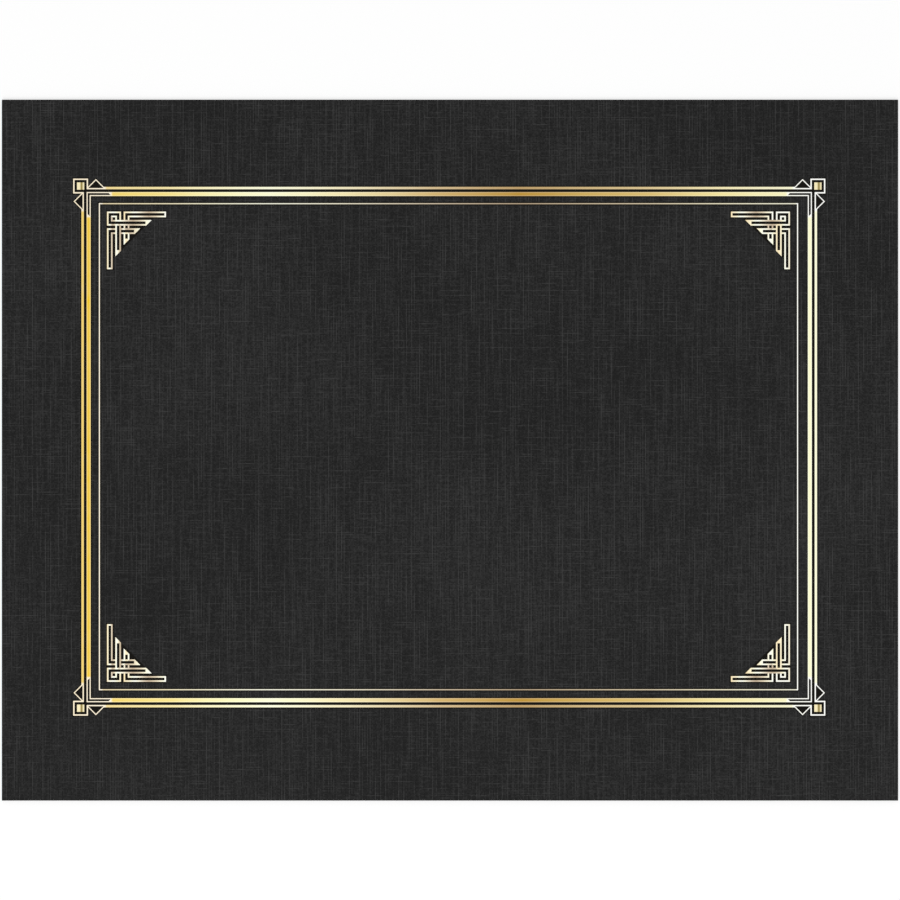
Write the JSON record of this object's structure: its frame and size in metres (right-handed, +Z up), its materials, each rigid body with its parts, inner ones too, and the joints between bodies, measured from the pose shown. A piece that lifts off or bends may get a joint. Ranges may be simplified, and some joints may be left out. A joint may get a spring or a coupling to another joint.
{
  "type": "diploma cover",
  "caption": "Landscape folded cover of black linen-finish card with a gold foil border of rules and interlaced corner keys; opens at the long edge to hold a document.",
  "frame": {"origin": "centre of the shut cover's footprint, at the underside of the back cover", "axes": "+X along the long side to the right as the front is read, +Y to the folded edge at the top, +Z up out of the front"},
  "size_m": [0.3174, 0.2484, 0.0013],
  "materials": {
    "linen_card": "black cover card with a fine embossed linen texture, dull",
    "gold_foil": "hot-stamped pale gold foil, bright, slightly uneven"
  },
  "bodies": {
    "back": {"back_cover": "linen_card", "cover_fold": "linen_card"},
    "front": {"front_cover": "linen_card", "foil_outer_rule": "gold_foil", "foil_inner_rule": "gold_foil", "foil_thin_rule": "gold_foil", "foil_square_top_left": "gold_foil", "foil_square_top_right": "gold_foil", "foil_square_bottom_left": "gold_foil", "foil_square_bottom_right": "gold_foil", "foil_key_top_left": "gold_foil", "foil_key_top_right": "gold_foil", "foil_key_bottom_left": "gold_foil", "foil_key_bottom_right": "gold_foil"}
  },
  "joints": [
    {"name": "cover_hinge", "type": "hinge", "parent": "back", "child": "front", "pos_m": [0, 0.1242, 0.0006], "axis": [-1, 0, 0], "range_deg": [0, 180], "deforming": ["cover_fold"]}
  ]
}
